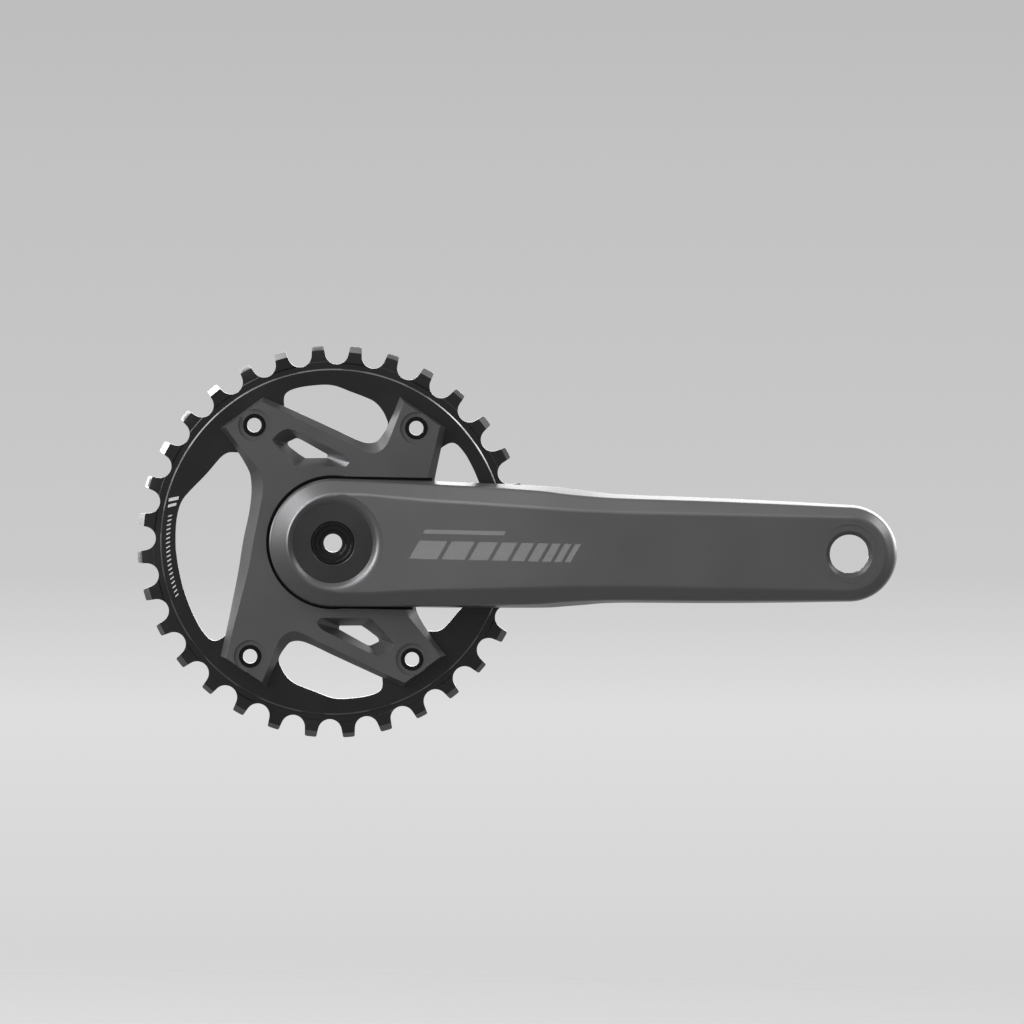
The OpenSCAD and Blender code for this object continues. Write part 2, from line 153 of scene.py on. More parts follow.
def soften(obj, width, angle=28, segments=3):
    """Small rounded edges, and normals that keep the flats flat."""
    bevel = obj.modifiers.new("edges", "BEVEL")
    bevel.width = width * MM
    bevel.segments = segments
    bevel.limit_method = "ANGLE"
    bevel.angle_limit = math.radians(angle)
    bevel.use_clamp_overlap = True
    bevel.miter_outer = "MITER_ARC"
    normals = obj.modifiers.new("flats", "WEIGHTED_NORMAL")
    normals.weight = 90


def shade_smooth(obj):
    mesh = obj.data
    mesh.polygons.foreach_set("use_smooth", [True] * len(mesh.polygons))
    mesh.update()


def tidy_mesh(obj, merge=0.0005):
    """Merges points that meet, drops edges without length and fills any opening that is left."""
    bm = bmesh.new()
    bm.from_mesh(obj.data)
    bmesh.ops.remove_doubles(bm, verts=bm.verts, dist=merge * MM)
    bmesh.ops.dissolve_degenerate(bm, edges=bm.edges, dist=merge * MM)
    open_edges = [e for e in bm.edges if e.is_boundary]
    bmesh.ops.holes_fill(bm, edges=open_edges, sides=0)
    bm.to_mesh(obj.data)
    bm.free()


# ---------------------------------------------------------------- curves

def along(table, x):
    """A smooth, never overshooting curve through a table of (x, value)."""
    if x <= table[0][0]:
        return table[0][1]
    if x >= table[-1][0]:
        return table[-1][1]
    slopes = [(b[1] - a[1]) / (b[0] - a[0]) for a, b in zip(table, table[1:])]
    k = max(i for i in range(len(table) - 1) if table[i][0] <= x)

    def tangent(i):
        if i == 0 or i == len(table) - 1:
            return slopes[min(i, len(slopes) - 1)]
        a, b = slopes[i - 1], slopes[i]
        return 0.0 if a * b <= 0 else 2 * a * b / (a + b)

    (x0, y0), (x1, y1) = table[k], table[k + 1]
    h = x1 - x0
    t = (x - x0) / h
    return (y0 * (1 + 2 * t) * (1 - t) ** 2 + h * tangent(k) * t * (1 - t) ** 2
            + y1 * t * t * (3 - 2 * t) + h * tangent(k + 1) * t * t * (t - 1))


def rounded_path(keys, reach, steps):
    """Points along a 3-D polyline whose inner corners are rounded over the given reaches."""
    path = [keys[0]]
    for i in range(1, len(keys) - 1):
        a, k, b = keys[i - 1], keys[i], keys[i + 1]
        start = k + (a - k).normalized() * min(reach[i - 1], (a - k).length * 0.45)
        stop = k + (b - k).normalized() * min(reach[i - 1], (b - k).length * 0.45)
        for s in range(steps + 1):
            t = s / steps
            path.append(start * (1 - t) ** 2 + k * 2 * t * (1 - t) + stop * t * t)
    path.append(keys[-1])
    return path


def spline_loop(points, corners, steps=6):
    """A closed curve through points, with sharp corners at the indices in corners."""
    n = len(points)
    out = []
    for i in range(n):
        p1, p2 = Vector(points[i]), Vector(points[(i + 1) % n])
        out.append(tuple(p1))
        straight_start, straight_end = i in corners, (i + 1) % n in corners
        if straight_start and straight_end:
            continue
        p0 = p1 - (p2 - p1) if straight_start else Vector(points[i - 1])
        p3 = p2 + (p2 - p1) if straight_end else Vector(points[(i + 2) % n])
        reach = (p2 - p1).length
        m1 = (p2 - p0).normalized() * reach
        m2 = (p3 - p1).normalized() * reach
        for s in range(1, steps):
            t = s / steps
            q = (p1 * (1 + 2 * t) * (1 - t) ** 2 + m1 * t * (1 - t) ** 2
                 + p2 * t * t * (3 - 2 * t) + m2 * t * t * (t - 1))
            out.append(tuple(q))
    return out


# ---------------------------------------------------------------- pieces and finishes

def carried(obj, body, finish, *nodes):
    """A finished piece on its body; the CAD nodes that it stands for are hidden."""
    obj.data.materials.append(FINISHES[finish])
    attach(obj, body)
    if nodes:
        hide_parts(*nodes)


def painted_tone_faces(obj, finish, chosen):
    """Gives a finish of their own, painted shade or a painted highlight, to the faces that
    chosen(centre, normal) picks; both are in the side view, the centre in millimetres."""
    obj.data.materials.append(FINISHES[finish])
    slot = len(obj.data.materials) - 1
    for face in obj.data.polygons:
        centre, normal = face.center / MM, face.normal
        if chosen((centre.x, centre.z, -centre.y), (normal.x, normal.z, -normal.y)):
            face.material_index = slot


# ---------------------------------------------------------------- crank arm

HUB_R = 21.7
CREASE_X = 1.6
CREASE_R = 16.9
CORNER_REACH = (1.6, 1.1, 0.8)
FLAT_SHARE = 0.8
BOSS_R = 16.5
BOSS_THREAD_R = 15.75
DISH_R = 13.6
DISH_U = 70
PLUG_HOLE_R = 7.3
EYE_R = 6.6
EYE_PITCH = 1.27
SPOT_R = 10
SPOT_DEPTH = 0.4
HUB_FACE_U = 71.5
HUB_BACK_U = 56.5
ARM_END = 175
# Tables of (distance from the spindle axis, value): half the arm's width at its back, at the foot
# of its bevel and at the crease round its face; then the rise of the face, the depth of the bevel
# and the rise of the back.
WIDE_HALF = [(0, 21.7), (34, 21.6), (50, 21.3), (68, 21), (74, 20.8), (80, 20.2), (86, 19.6),
             (92, 18.9), (100, 18.5), (125, 18.1), (151, 17.4), (175, 16.5)]
BEVEL_HALF = [(0, 21.6), (35, 20.6), (50, 20.1), (62, 19.6), (71, 19.1), (77, 18.4), (83, 17.9),
              (92, 17.4), (100, 17.2), (125, 16.9), (151, 16.4), (175, 15.8)]
FACE_HALF = [(0, 16.9), (10, 16.9), (20, 16.2), (35, 15.2), (50, 14.6), (62, 14), (71, 13.6),
             (80, 13.1), (92, 12.8), (100, 12.6), (175, 12.6)]
FACE_HEIGHT = [(0, 0), (4, 0.3), (68, 8.3), (74, 8.95), (80, 9.5), (88, 10.05), (175, 14.8)]
BEVEL_DEPTH = [(0, 4.6), (35, 4), (68, 3.6), (100, 3), (175, 2.8)]
BACK_HEIGHT = [(0, 0), (22, 0), (34, 2.5), (60, 6.5), (83, 10.4), (100, 12.3), (130, 14.3), (175, 17)]


def face_u(x):
    return HUB_FACE_U + along(FACE_HEIGHT, x)


def back_u(x):
    return HUB_BACK_U + along(BACK_HEIGHT, x)


def arm_half(hub_x, r, widths):
    """Upper half of an arm outline, hub end first."""
    hub_steps, end_steps, pitch = 48, 36, 2.0
    end_r = widths[-1][1]
    line = []
    for i in range(hub_steps + 1):
        a = math.pi - math.pi / 2 * i / hub_steps
        line.append((hub_x + r * math.cos(a), r * math.sin(a)))
    x = pitch * 2
    while x < ARM_END - 1:
        line.append((x, along(widths, x)))
        x += pitch
    for i in range(end_steps + 1):
        a = math.pi / 2 * (1 - i / end_steps)
        line.append((ARM_END + end_r * math.cos(a), end_r * math.sin(a)))
    return line


def crank_arm():
    wide = arm_half(0, HUB_R, WIDE_HALF)
    foot = arm_half(0, HUB_R - 0.1, BEVEL_HALF)
    crease = arm_half(CREASE_X, CREASE_R, FACE_HALF)
    rows = None
    for (wx, wz), (fx, fz), (cx, cz) in zip(wide, foot, crease):
        back_x, face_x = wx, cx
        if wz < 1e-6 or wx < 0 or wx > ARM_END:
            back_centre, face_centre = (0, CREASE_X) if wx < ARM_END / 2 else (ARM_END, ARM_END)
            back_x = back_centre + (wx - back_centre) * FLAT_SHARE
            face_x = face_centre + (cx - face_centre) * FLAT_SHARE
        keys = [Vector((back_x, wz * FLAT_SHARE, back_u(wx))),
                Vector((wx, wz, back_u(wx))),
                Vector((fx, fz, face_u(fx) - along(BEVEL_DEPTH, fx))),
                Vector((cx, cz, face_u(cx))),
                Vector((face_x, cz * FLAT_SHARE, face_u(cx)))]
        path = rounded_path(keys, CORNER_REACH, 5)
        if rows is None:
            rows = [[] for _ in path]
        for row, p in zip(rows, path):
            row.append(tuple(p))
    loops = [row + [(x, -z, u) for x, z, u in row[-2:0:-1]] for row in rows]
    n = len(loops[0])
    points = [p for loop in loops for p in loop]
    faces = ring_faces(n, len(loops))
    for start in (0, (len(loops) - 1) * n):
        for i in range(n // 2):
            a, b = start + i, start + i + 1
            c, d = start + (n - i - 1) % n, start + (n - i) % n
            faces.append(tuple(dict.fromkeys((a, b, c, d))))
    arm = mesh_object("crank_arm_body", points, faces)
    boolean(arm, drum("boss", [(BOSS_R, 51.5), (BOSS_R, 58)]), "UNION")
    threads = thread_rows(BOSS_THREAD_R, 0.25, 0.5, 49.2, 51.6, 4)
    threads = [(BOSS_THREAD_R, 49)] + threads + [(BOSS_THREAD_R, 52.5)]
    boolean(arm, drum("boss_thread", threads), "UNION")
    dish = [(12, 45), (12, 64), (PLUG_HOLE_R, 64), (PLUG_HOLE_R, 69.75), (7.6, DISH_U), (DISH_R, DISH_U)]
    dish += [(14.5, 70.85), (15, 71.2), (15.5, 71.42), (16.1, 71.55), (17, 71.62), (17, 76)]
    boolean(arm, drum("dish", dish, 128))
    top, low = face_u(ARM_END) - SPOT_DEPTH, back_u(ARM_END) + SPOT_DEPTH
    eye = [(SPOT_R, low - 12), (SPOT_R, low), (EYE_R + 1, low), (EYE_R, low + 1)]
    eye += thread_rows(EYE_R, 0.55, EYE_PITCH, low + 1.1, top - 1.4)
    eye += [(EYE_R, top - 1.3), (7.9, top), (SPOT_R, top), (SPOT_R + 0.3, top + 2)]
    boolean(arm, drum("eye", eye, 96, (ARM_END, 0)))
    tidy_mesh(arm)
    shade_smooth(arm)
    carried(arm, "crank", "arm_finish", "crank_arm")

    # Painted shade: the dish floor round the plug takes a darker copy of the arm's charcoal, standing in
    # for the shade in that recess.
    def in_dish(at, _normal):
        return math.hypot(at[0], at[1]) < DISH_R and at[2] > DISH_U - 0.5

    painted_tone_faces(arm, "painted_dish_shade", in_dish)
    soften(arm, 0.22)


# ---------------------------------------------------------------- spider

# Half the spider's outline, as x and z at its back and x and z at its face; the other half is the
# same points turned half a turn.
SPIDER_HALF = [
    (37.6, 39.6, 35.6, 40.2), (21.8, 49.8, 23.3, 48.0), (20.0, 45.0, 21.7, 44.0),
    (17.8, 40.0, 20.2, 40.0), (17.3, 38.7, 19.0, 36.7), (15.9, 36.5, 17.7, 33.7),
    (14.3, 34.6, 15.8, 31.6), (12.7, 34.0, 13.3, 30.5), (11.0, 33.9, 11.3, 30.7),
    (9.0, 34.3, 9.0, 31.5), (5.0, 35.9, 5.0, 33.6), (0.0, 38.2, 0.0, 35.8),
    (-17.4, 45.8, -18.2, 44.3), (-24.8, 48.8, -25.2, 47.3), (-39.2, 37.9, -37.2, 38.3),
    (-36.5, 34.7, -35.0, 35.3), (-32.8, 29.8, -31.7, 31.3), (-29.8, 25.0, -27.7, 26.7),
    (-28.6, 22.2, -25.3, 23.4), (-28.1, 17.0, -24.2, 18.0), (-28.7, 10.0, -25.3, 10.0),
    (-30.6, 0.0, -27.1, 0.0), (-32.0, -10.0, -28.7, -10.0), (-33.8, -20.3, -31.1, -20.3),
    (-35.8, -31.0, -33.4, -30.0)]
# Indices of that outline's sharp corners.
PRONG_CORNERS = (0, 1, 13, 14)
POCKET_RIM = [(-22.2, 34.4), (-20, 37), (-18, 38.3), (-16.3, 38.7), (-14, 38.1), (4, 29.8),
              (5.5, 28.2), (6, 27), (5.3, 26), (4.3, 25.4), (-13, 25.2), (-14.5, 25.9)]
POCKET_HOLE = [(-15.6, 33.4), (-13, 34.7), (-12.2, 34.6), (-3.3, 29.8), (-3.4, 28.8),
               (-9.7, 28.6), (-11.7, 29.8), (-15.4, 32.5)]
BOLT_CIRCLE_R = 48
BOLT_ANGLES = (55, 125, 235, 305)
SPIDER_BACK_U = 54
SPIDER_EDGE_U = 55.5
SPIDER_FACE_U = 58.8
HUB_DISC_R = 26
HUB_BORE_R = 16.55
BOLT_HOLE_R = 3.85
BOLT_SEAT_R = 5.5
BOLT_SEAT_U = SPIDER_FACE_U - 1


def at_bolts():
    for degrees in BOLT_ANGLES:
        a = math.radians(degrees)
        yield BOLT_CIRCLE_R * math.cos(a), BOLT_CIRCLE_R * math.sin(a)


def twice(points):
    """Points and the same points turned half a turn, as one closed outline."""
    return list(points) + [(-x, -z) for x, z in points]


def hull(name, points):
    """The convex solid round a set of side-view points."""
    mesh = bpy.data.meshes.new(name)
    bm = bmesh.new()
    for p in points:
        bm.verts.new(place(*p))
    made = bmesh.ops.convex_hull(bm, input=bm.verts)
    loose = [v for v in made["geom_interior"] if isinstance(v, bmesh.types.BMVert)]
    bmesh.ops.delete(bm, geom=loose, context="VERTS")
    bmesh.ops.recalc_face_normals(bm, faces=bm.faces)
    bm.to_mesh(mesh)
    bm.free()
    return link(name, mesh)


def spider():
    corners = set(PRONG_CORNERS) | {c + len(SPIDER_HALF) for c in PRONG_CORNERS}
    base = spline_loop(twice([(a, b) for a, b, _, _ in SPIDER_HALF]), corners)
    face = spline_loop(twice([(c, d) for _, _, c, d in SPIDER_HALF]), corners)
    n = len(base)
    rows = [(base, SPIDER_BACK_U), (base, SPIDER_EDGE_U), (face, SPIDER_FACE_U)]
    points = [(x, z, u) for row, u in rows for x, z in row]
    faces = ring_faces(n, 3) + [tuple(range(n)), tuple(range(2 * n, 3 * n))]
    body = mesh_object("spider_body", points, faces)
    boolean(body, drum("hub_disc", [(HUB_DISC_R, 51.5), (HUB_DISC_R, 54.6)], 128), "UNION")
    boolean(body, drum("hub_bore", [(HUB_BORE_R, 50), (HUB_BORE_R, 60)], 128))
    gap_r, gap_half, gap_u = 22.8, 22.5, 56.5
    first = math.asin(gap_half / gap_r)
    steps = 72
    gap = [(gap_r * math.cos(a), gap_r * math.sin(a))
           for a in (first + (2 * math.pi - 2 * first) * i / steps for i in range(steps + 1))]
    boolean(body, prism("arm_gap", gap + [(60, -gap_half), (60, gap_half)], gap_u, 60))
    for sign in (1, -1):
        rim = [(sign * x, sign * z, SPIDER_FACE_U + 0.6) for x, z in POCKET_RIM]
        low = [(sign * x, sign * z, SPIDER_BACK_U - 0.5) for x, z in POCKET_HOLE]
        boolean(body, hull("pocket", rim + low))
    for x, z in at_bolts():
        seat = [(BOLT_HOLE_R, 53), (BOLT_HOLE_R, BOLT_SEAT_U),
                (BOLT_SEAT_R, BOLT_SEAT_U), (BOLT_SEAT_R, 60)]
        boolean(body, drum("bolt_seat", seat, 64, (x, z)))
    tidy_mesh(body)
    shade_smooth(body)
    carried(body, "crank", "spider_finish", "spider")

    # Painted shade: the spider's floor in the narrow gap round the arm's hub is near black, standing in for
    # the shade between the parts.
    def in_gap(at, _normal):
        return math.hypot(at[0], at[1]) < gap_r + 0.1 and at[2] > gap_u - 0.1

    painted_tone_faces(body, "painted_gap_shade", in_gap)
    soften(body, 0.65, 24)


# ---------------------------------------------------------------- chainring

TEETH = 32
CHAIN_PITCH = 12.7
PITCH_R = CHAIN_PITCH / 2 / math.sin(math.pi / TEETH)
TIP_R = PITCH_R + 2
ROLLER_R = 4.05
FLANK = math.radians(12)
CHAINLINE_U = 52
WEB = 2.0
STEP_R = 58.9
BAND_R = 61.2
BAND_HALF = 1.3
NARROW_HALF = 1.05
WIDE_HALF_T = 1.75
RING_INNER_R = 40
RING_HOLE_R = 4.05
RING_RECESS_R = 5.3
RING_RECESS_U = 51.3
SEAT_INSET = 0.35
TIP_INSET = 0.2
TIP_HALF_FLAT = 0.85
RING_STEPS = 384
# Keeps the ends of the wide teeth's solids off the ring's own rows of points, in radians.
SECTOR_SHIFT = 0.004
# Outlines of the upper window and the one at the left; the other two are these turned half a turn.
WINDOW_TOP = [
    (17.8, 40), (17, 43), (15.3, 45.8), (13, 48), (10, 49.4), (5, 51.2), (0, 53), (-3.5, 53.4),
    (-8.3, 53), (-12, 52.4), (-15, 51.5), (-16.8, 50.4), (-17.6, 49), (-17.5, 46), (-15, 34), (15, 34)]
WINDOW_SIDE = [
    (-32.8, 29.8), (-35.7, 29.8), (-37.3, 29.2), (-39, 27.8), (-43.3, 22.6), (-50.4, 14.9),
    (-52.3, 11.7), (-53.4, 7), (-53.7, 2), (-53.4, -4.7), (-51.3, -14.9), (-48.3, -23.3),
    (-45, -29.7), (-43.3, -32), (-41.7, -33.7), (-40.3, -34.4), (-39, -34.3), (-37.7, -33.7),
    (-36.3, -32.7), (-28, -26), (-26, 28)]


def tooth_outline():
    """The outline of all the teeth: a roller seat, two flanks and a tip with rounded corners each."""
    seat_x = PITCH_R - SEAT_INSET
    outline = []
    for k in range(TEETH):
        turn = 2 * math.pi * k / TEETH
        points = []
        seat_steps = 14
        for i in range(seat_steps + 1):
            a = -math.pi / 2 + FLANK + (math.pi - 2 * FLANK) * i / seat_steps
            points.append((seat_x - ROLLER_R * math.cos(a), ROLLER_R * math.sin(a)))
        x, z = points[-1]
        reach = TIP_R - TIP_INSET - x
        flank = [Vector((x + reach * t, z + reach * t * math.tan(FLANK))) for t in (0.3, 0.6, 0.84, 1)]
        across = Vector((-math.sin(math.pi / TEETH), math.cos(math.pi / TEETH)))
        corner, tip = flank[-1], flank[-1] + across * TIP_HALF_FLAT
        points += [tuple(q) for q in flank[:2]]
        for t in (0, 0.25, 0.5, 0.75, 1):
            points.append(tuple(flank[2] * (1 - t) ** 2 + corner * 2 * t * (1 - t) + tip * t * t))
        points = [(px, -pz) for px, pz in reversed(points[seat_steps + 1:])] + points
        for px, pz in points:
            outline.append((px * math.cos(turn) - pz * math.sin(turn),
                            px * math.sin(turn) + pz * math.cos(turn)))
    return outline


def ring_sectors(profile, steps=14):
    """One mesh of short revolved lengths of a profile, one to each wide tooth."""
    points, faces = [], []
    n = len(profile)
    for m in range(TEETH // 2):
        start = 2 * math.pi / TEETH * (2 * m + 1) + SECTOR_SHIFT
        base = len(points)
        for i in range(steps + 1):
            a = start + 2 * math.pi / TEETH * i / steps
            points += [(r * math.cos(a), r * math.sin(a), CHAINLINE_U + u) for r, u in profile]
        faces += [tuple(base + v for v in f) for f in ring_faces(n, steps + 1)]
        faces += [tuple(range(base, base + n)), tuple(range(base + steps * n, base + (steps + 1) * n))]
    return mesh_object("wide_teeth", points, faces)


def chainring():
    half = [(RING_INNER_R, WEB), (STEP_R - 0.45, WEB), (STEP_R, WEB - 0.45),
            (STEP_R, BAND_HALF), (BAND_R, BAND_HALF),
            (BAND_R + 0.3, NARROW_HALF), (TIP_R - 1.5, NARROW_HALF), (TIP_R + 0.02, NARROW_HALF - 0.7)]
    loop = [(r, CHAINLINE_U - u) for r, u in half] + [(r, CHAINLINE_U + u) for r, u in reversed(half)]
    ring = revolved("chainring_body", loop, RING_STEPS)
    wide = [(BAND_R - 1.1, BAND_HALF - 0.4), (BAND_R - 0.1, WIDE_HALF_T), (TIP_R - 2.1, WIDE_HALF_T),
            (TIP_R + 0.01, WIDE_HALF_T - 1.2)]
    wide_loop = [(r, -u) for r, u in wide] + [(r, u) for r, u in reversed(wide)]
    boolean(ring, ring_sectors(wide_loop), "UNION")
    boolean(ring, prism("teeth", tooth_outline(), 48, 56), "INTERSECT")
    for sign in (1, -1):
        top = spline_loop(WINDOW_TOP, {14, 15}, 5)
        side = spline_loop(WINDOW_SIDE, {0, 19, 20}, 5)
        for name, outline in (("window_top", top), ("window_side", side)):
            boolean(ring, prism(name, [(sign * x, sign * z) for x, z in outline], 48, 56))
    for x, z in at_bolts():
        hole = [(RING_RECESS_R, 49), (RING_RECESS_R, RING_RECESS_U),
                (RING_HOLE_R, RING_RECESS_U), (RING_HOLE_R, 55)]
        boolean(ring, drum("ring_hole", hole, 48, (x, z)))
    tidy_mesh(ring)
    shade_smooth(ring)
    carried(ring, "crank", "ring_finish", "chainring")

    def painted_highlight_edge(at, normal):
        """Painted highlight: the sloping, outward chamfer faces at the tooth tips and the ring's step take
        a lighter, fully metallic copy of the ring's black that brightens their glints.
        """
        r = math.hypot(at[0], at[1])
        sloping = 0.2 < abs(normal[2]) < 0.97
        outward = (at[0] * normal[0] + at[1] * normal[1]) > 0
        return sloping and outward and (STEP_R - 0.8 < r < STEP_R + 0.1 or r > TIP_R - 2.2)

    painted_tone_faces(ring, "painted_highlight_edge", painted_highlight_edge)
    soften(ring, 0.16, 26, 2)


# ---------------------------------------------------------------- bottom bracket cups

CUP_FLANGE_R = 22
CUP_FLANGE_T = 9
CUP_THREAD_R = 17.4
CUP_PITCH = 1.058
BEARING_R = 18.5
BEARING_INSET = 1.2
CUP_NOTCHES = 16


def cup(name, seat_u, outward, neck):
    """A threaded cup; its seat is at seat_u and its bearing lies outward (1 or -1) of it."""
    def rows(pairs):
        return [(row[0], seat_u + outward * row[1], *row[2:]) for row in pairs]

    thread_end, inner_r = -16, 14.9
    depth = 0.55
    wall = thread_rows(CUP_THREAD_R - depth, depth, CUP_PITCH, thread_end + 0.6, -neck - 0.2, 6)
    profile = [(inner_r, thread_end), (CUP_THREAD_R - depth - 0.3, thread_end)] + wall
    profile += [(17.0, -neck), (17.0, 0), (CUP_FLANGE_R - 0.6, 0), (CUP_FLANGE_R, 0.6),
                (CUP_FLANGE_R, CUP_FLANGE_T - 0.7), (CUP_FLANGE_R - 0.7, CUP_FLANGE_T),
                (BEARING_R + 0.3, CUP_FLANGE_T), (BEARING_R, CUP_FLANGE_T - 0.3),
                (BEARING_R, BEARING_INSET), (inner_r, BEARING_INSET)]
    body = revolved(name, rows(profile), 96)
    for i in range(CUP_NOTCHES):
        a = 2 * math.pi * i / CUP_NOTCHES
        centre = ((CUP_FLANGE_R + 0.5) * math.cos(a), (CUP_FLANGE_R + 0.5) * math.sin(a))
        boolean(body, drum("notch", rows([(1.8, 1.5), (1.8, 12)]), 24, centre))
    tidy_mesh(body)
    shade_smooth(body)
    soften(body, 0.15, 32, 2)
    return body


# ---------------------------------------------------------------- markings

def face_bar(name, corners, lift=0.06, steps=8):
    """A thin slanted bar printed on the arm's face: corners are its four (x, z), anticlockwise."""
    (ax, az), (bx, bz), (cx, cz), (dx, dz) = corners
    points, faces = [], []
    for u_shift in (-0.05, lift):
        for i in range(steps + 1):
            t = i / steps
            low = (ax + (bx - ax) * t, az + (bz - az) * t)
            high = (dx + (cx - dx) * t, dz + (cz - dz) * t)
            points += [(x, z, face_u(x) + u_shift) for x, z in (low, high)]
    top = 2 * (steps + 1)
    for i in range(steps):
        a = 2 * i
        faces += [(a, a + 2, a + 3, a + 1), (top + a, top + a + 1, top + a + 3, top + a + 2)]
        faces += [(a, top + a, top + a + 2, a + 2), (a + 1, a + 3, top + a + 3, top + a + 1)]
    last = 2 * steps
    faces += [(0, 1, top + 1, top), (last, top + last, top + last + 1, last + 1)]
    return mesh_object(name, points, faces)


def join(name, objects):
    """One object made of several meshes."""
    bm = bmesh.new()
    for obj in objects:
        bm.from_mesh(obj.data)
    mesh = bpy.data.meshes.new(name)
    bm.to_mesh(mesh)
    bm.free()
    for obj in objects:
        bpy.data.objects.remove(obj)
    return link(name, mesh)


def arm_marking():
    """Slanted bars that grow narrower towards the pedal, under one long thin bar."""
    bars = []
    x, slant, low, high = 26.0, 3.4, -4.6, 1.6
    width, narrowest, gap = 9.5, 1.6, 1.5
    while width > narrowest:
        end = x + width
        bars.append(face_bar("bar", [(x, low), (end, low), (end + slant, high), (x + slant, high)]))
        x = end + gap
        width *= 0.82
        gap *= 0.97
    bars.append(face_bar("line", [(30.5, 4.0), (58, 4.0), (58.7, 5.4), (31.2, 5.4)]))
    marking = join("arm_marking", bars)
    carried(marking, "crank", "marking_grey")


RING_MARK_R = 56.2
RING_FACE_U = CHAINLINE_U + WEB


def ring_marking():
    """A run of short ticks along the ring, with a pair of longer ones at its upper end."""
    ticks = []
    spans = [(166, 1.2, 3.0), (168.2, 1.0, 2.6)] + [(172 + 1.55 * k, 0.42, 1.3) for k in range(19)]
    for degrees, width, height in spans:
        a = math.radians(degrees)
        radial, along_ring = Vector((math.cos(a), math.sin(a))), Vector((-math.sin(a), math.cos(a)))
        centre = radial * RING_MARK_R
        lean = along_ring * 0.25 * height
        corners = [centre - radial * height / 2 - lean - along_ring * width / 2,
                   centre - radial * height / 2 - lean + along_ring * width / 2,
                   centre + radial * height / 2 + lean + along_ring * width / 2,
                   centre + radial * height / 2 + lean - along_ring * width / 2]
        ticks.append(prism("tick", [tuple(c) for c in corners], RING_FACE_U - 0.05, RING_FACE_U + 0.05))
    carried(join("ring_marking", ticks), "crank", "marking_white")


# ---------------------------------------------------------------- finishes

GRAIN_DEPTH = 0.00003


def finish_material(name, colour, metallic, roughness, grain, bump, mottle=0.12, streak=0.0):
    """A procedural finish: fine grain in the bump, slow mottling of colour and gloss, and
    optional streaks along the spindle axis."""
    mat = bpy.data.materials.new(name)
    mat.use_nodes = True
    nodes, links = mat.node_tree.nodes, mat.node_tree.links
    shader = nodes["Principled BSDF"]
    shader.inputs["Metallic"].default_value = metallic
    coords = nodes.new("ShaderNodeTexCoord")

    def noise(scale, detail, stretch=None):
        node = nodes.new("ShaderNodeTexNoise")
        node.inputs["Scale"].default_value = scale
        node.inputs["Detail"].default_value = detail
        source = coords.outputs["Object"]
        if stretch:
            mapping = nodes.new("ShaderNodeMapping")
            mapping.inputs["Scale"].default_value = stretch
            links.new(source, mapping.inputs["Vector"])
            source = mapping.outputs["Vector"]
        links.new(source, node.inputs["Vector"])
        return node.outputs["Fac"]

    slow = noise(45, 3)
    fine = noise(grain, 2)
    ramp = nodes.new("ShaderNodeValToRGB")
    low = [c * (1 - mottle) for c in colour]
    high = [c * (1 + mottle) for c in colour]
    ramp.color_ramp.elements[0].position = 0.3
    ramp.color_ramp.elements[0].color = (*low, 1)
    ramp.color_ramp.elements[1].position = 0.7
    ramp.color_ramp.elements[1].color = (*high, 1)
    blend = nodes.new("ShaderNodeMath")
    blend.operation = "MULTIPLY_ADD"
    blend.inputs[1].default_value = 0.55
    links.new(fine, blend.inputs[0])
    half = nodes.new("ShaderNodeMath")
    half.operation = "MULTIPLY"
    half.inputs[1].default_value = 0.45
    links.new(slow, half.inputs[0])
    links.new(half.outputs[0], blend.inputs[2])
    links.new(blend.outputs[0], ramp.inputs["Fac"])
    links.new(ramp.outputs["Color"], shader.inputs["Base Color"])
    gloss = nodes.new("ShaderNodeMapRange")
    gloss.inputs["From Min"].default_value = 0.3
    gloss.inputs["From Max"].default_value = 0.7
    gloss.inputs["To Min"].default_value = roughness - mottle * 0.4
    gloss.inputs["To Max"].default_value = roughness + mottle * 0.5
    links.new(slow, gloss.inputs["Value"])
    links.new(gloss.outputs["Result"], shader.inputs["Roughness"])
    height = fine
    if streak:
        brushed = noise(1, 2, (streak, 60, streak))
        mix = nodes.new("ShaderNodeMath")
        mix.operation = "ADD"
        links.new(fine, mix.inputs[0])
        links.new(brushed, mix.inputs[1])
        height = mix.outputs[0]
    relief = nodes.new("ShaderNodeBump")
    relief.inputs["Strength"].default_value = bump
    relief.inputs["Distance"].default_value = GRAIN_DEPTH
    links.new(height, relief.inputs["Height"])
    links.new(relief.outputs["Normal"], shader.inputs["Normal"])
    return mat


